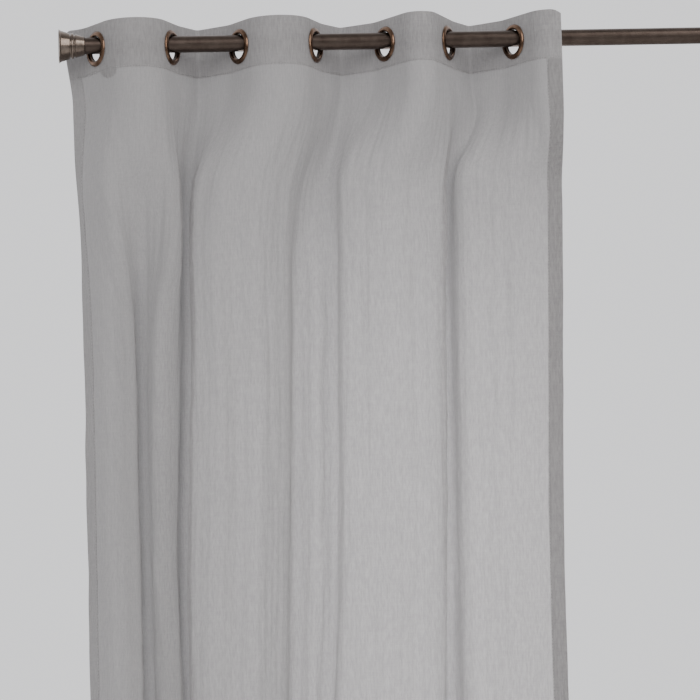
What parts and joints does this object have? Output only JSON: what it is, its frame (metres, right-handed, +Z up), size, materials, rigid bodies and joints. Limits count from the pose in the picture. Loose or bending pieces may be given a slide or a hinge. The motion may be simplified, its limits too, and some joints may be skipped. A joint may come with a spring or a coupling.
{
  "type": "grommet curtain panel on a pole",
  "caption": "Sheer linen-look curtain panel gathered in soft folds on a round metal pole by eyelet rings, with flared finials and wall brackets.",
  "frame": {"origin": "centre of the left wall plate's back face, on the wall", "axes": "+X along the pole from the left bracket to the right one, +Y into the wall, +Z up"},
  "size_m": [1.2978, 0.1554, 2.134],
  "materials": {
    "cloth": "grey semi-sheer linen-look voile with vertical slubs",
    "heading_stiffening": "woven stiffening tape and turned-over cloth behind the heading",
    "grommet_metal": "antique bronze plating, semi-polished",
    "pole_metal": "satin dark bronze",
    "finial_metal": "brushed antique pewter, dark in the grooves",
    "bracket_metal": "satin dark bronze",
    "screw_metal": "blackened bronze"
  },
  "bodies": {
    "pole_and_brackets": {"pole": "pole_metal", "wall_plate_left": "bracket_metal", "bracket_arm_left": "bracket_metal", "cradle_left": "bracket_metal", "wall_screw_upper_left": "screw_metal", "wall_screw_lower_left": "screw_metal", "wall_plate_right": "bracket_metal", "bracket_arm_right": "bracket_metal", "cradle_right": "bracket_metal", "wall_screw_upper_right": "screw_metal", "wall_screw_lower_right": "screw_metal"},
    "finial_left": {"finial_left": "finial_metal", "finial_cap_left": "finial_metal"},
    "clamp_screw_left": {"clamp_screw_left": "screw_metal"},
    "finial_right": {"finial_right": "finial_metal", "finial_cap_right": "finial_metal"},
    "clamp_screw_right": {"clamp_screw_right": "screw_metal"},
    "fold_1": {"cloth_fold_1": "cloth", "heading_stiffener_1": "heading_stiffening", "bottom_hem_1": "cloth", "side_hem_return": "cloth", "grommet_front_1": "grommet_metal", "grommet_back_1": "grommet_metal"},
    "fold_2": {"cloth_fold_2": "cloth", "heading_stiffener_2": "heading_stiffening", "bottom_hem_2": "cloth", "grommet_front_2": "grommet_metal", "grommet_back_2": "grommet_metal"},
    "fold_3": {"cloth_fold_3": "cloth", "heading_stiffener_3": "heading_stiffening", "bottom_hem_3": "cloth", "grommet_front_3": "grommet_metal", "grommet_back_3": "grommet_metal"},
    "fold_4": {"cloth_fold_4": "cloth", "heading_stiffener_4": "heading_stiffening", "bottom_hem_4": "cloth", "grommet_front_4": "grommet_metal", "grommet_back_4": "grommet_metal"},
    "fold_5": {"cloth_fold_5": "cloth", "heading_stiffener_5": "heading_stiffening", "bottom_hem_5": "cloth", "grommet_front_5": "grommet_metal", "grommet_back_5": "grommet_metal"},
    "fold_6": {"cloth_fold_6": "cloth", "heading_stiffener_6": "heading_stiffening", "bottom_hem_6": "cloth", "grommet_front_6": "grommet_metal", "grommet_back_6": "grommet_metal"},
    "fold_7": {"cloth_fold_7": "cloth", "heading_stiffener_7": "heading_stiffening", "bottom_hem_7": "cloth", "side_hem_leading": "cloth", "grommet_front_7": "grommet_metal", "grommet_back_7": "grommet_metal"}
  },
  "joints": [
    {"name": "fold_1_swing", "type": "hinge", "parent": "pole_and_brackets", "child": "fold_1", "pos_m": [-0.021, -0.095, -0.005], "axis": [0, 0, -1], "range_deg": [-2, 25]},
    {"name": "fold_2_swing", "type": "hinge", "parent": "fold_1", "child": "fold_2", "pos_m": [0.0365, -0.1448, -0.005], "axis": [0, 0, -1], "range_deg": [-50.5, 4.5]},
    {"name": "fold_3_swing", "type": "hinge", "parent": "fold_2", "child": "fold_3", "pos_m": [0.1455, -0.0384, -0.005], "axis": [0, 0, -1], "range_deg": [-4.5, 50.5]},
    {"name": "fold_4_swing", "type": "hinge", "parent": "fold_3", "child": "fold_4", "pos_m": [0.25525, -0.14395, -0.005], "axis": [0, 0, -1], "range_deg": [-50.5, 4.5]},
    {"name": "fold_5_swing", "type": "hinge", "parent": "fold_4", "child": "fold_5", "pos_m": [0.36725, -0.04095, -0.005], "axis": [0, 0, -1], "range_deg": [-4.5, 50.5]},
    {"name": "fold_6_swing", "type": "hinge", "parent": "fold_5", "child": "fold_6", "pos_m": [0.4695, -0.155, -0.005], "axis": [0, 0, -1], "range_deg": [-50.5, 4.5]},
    {"name": "fold_7_swing", "type": "hinge", "parent": "fold_6", "child": "fold_7", "pos_m": [0.56875, -0.03755, -0.005], "axis": [0, 0, -1], "range_deg": [-4.5, 50.5]},
    {"name": "finial_left_pull", "type": "slide", "parent": "pole_and_brackets", "child": "finial_left", "axis": [-1, 0, 0], "range_m": [0, 0.03]},
    {"name": "finial_right_pull", "type": "slide", "parent": "pole_and_brackets", "child": "finial_right", "axis": [1, 0, 0], "range_m": [0, 0.03]},
    {"name": "clamp_screw_left_turn", "type": "hinge", "parent": "pole_and_brackets", "child": "clamp_screw_left", "pos_m": [0, -0.095, -0.013], "axis": [0, 0, -1], "range_deg": [0, 1080]},
    {"name": "clamp_screw_right_turn", "type": "hinge", "parent": "pole_and_brackets", "child": "clamp_screw_right", "pos_m": [1.1418, -0.095, -0.013], "axis": [0, 0, -1], "range_deg": [0, 1080]}
  ],
  "couplings": [
    {"joint": "fold_2_swing", "follows": "fold_1_swing", "ratio": -2},
    {"joint": "fold_3_swing", "follows": "fold_1_swing", "ratio": 2},
    {"joint": "fold_4_swing", "follows": "fold_1_swing", "ratio": -2},
    {"joint": "fold_5_swing", "follows": "fold_1_swing", "ratio": 2},
    {"joint": "fold_6_swing", "follows": "fold_1_swing", "ratio": -2},
    {"joint": "fold_7_swing", "follows": "fold_1_swing", "ratio": 2}
  ]
}
